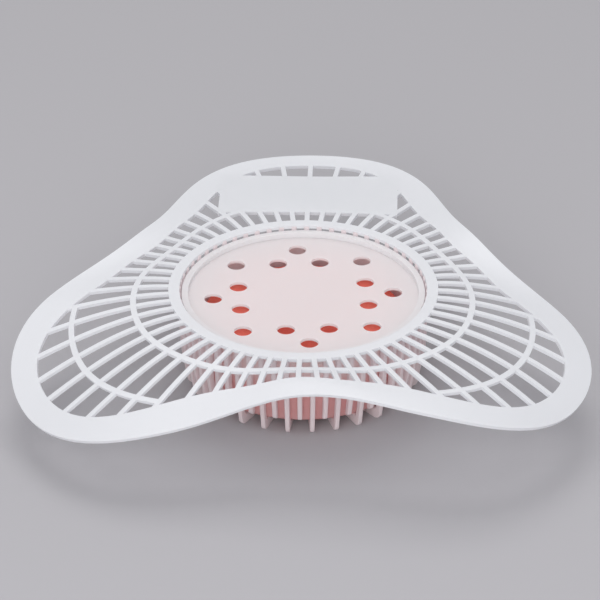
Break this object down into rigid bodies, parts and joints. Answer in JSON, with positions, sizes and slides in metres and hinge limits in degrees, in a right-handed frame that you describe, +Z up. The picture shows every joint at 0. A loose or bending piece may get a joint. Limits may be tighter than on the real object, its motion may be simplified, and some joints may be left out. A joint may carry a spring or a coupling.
{
  "type": "urinal deodorizer screen",
  "caption": "Flexible three-lobed drain grille with a round slatted basket under it that holds a milky cup with a deodorant block, under a perforated lid.",
  "frame": {"origin": "centre of the basket's flat hub, in the plane of the feet that it stands on", "axes": "+Z up along the basket's axis, +Y towards the lobe with the bare plate, +X to the right when that lobe is at the back"},
  "size_m": [0.1908, 0.1764, 0.0347],
  "materials": {
    "screen": "soft white flexible moulding, satin",
    "lid": "thin milky moulding that lets the red below show through as a pale pink",
    "cup": "very thin milky moulding, so translucent that the block glows through it",
    "deodorant_block": "dry moulded block, red, faintly grainy"
  },
  "bodies": {
    "root": {"screen": "screen", "lid": "lid", "cup": "cup", "deodorant_block": "deodorant_block"}
  },
  "joints": []
}
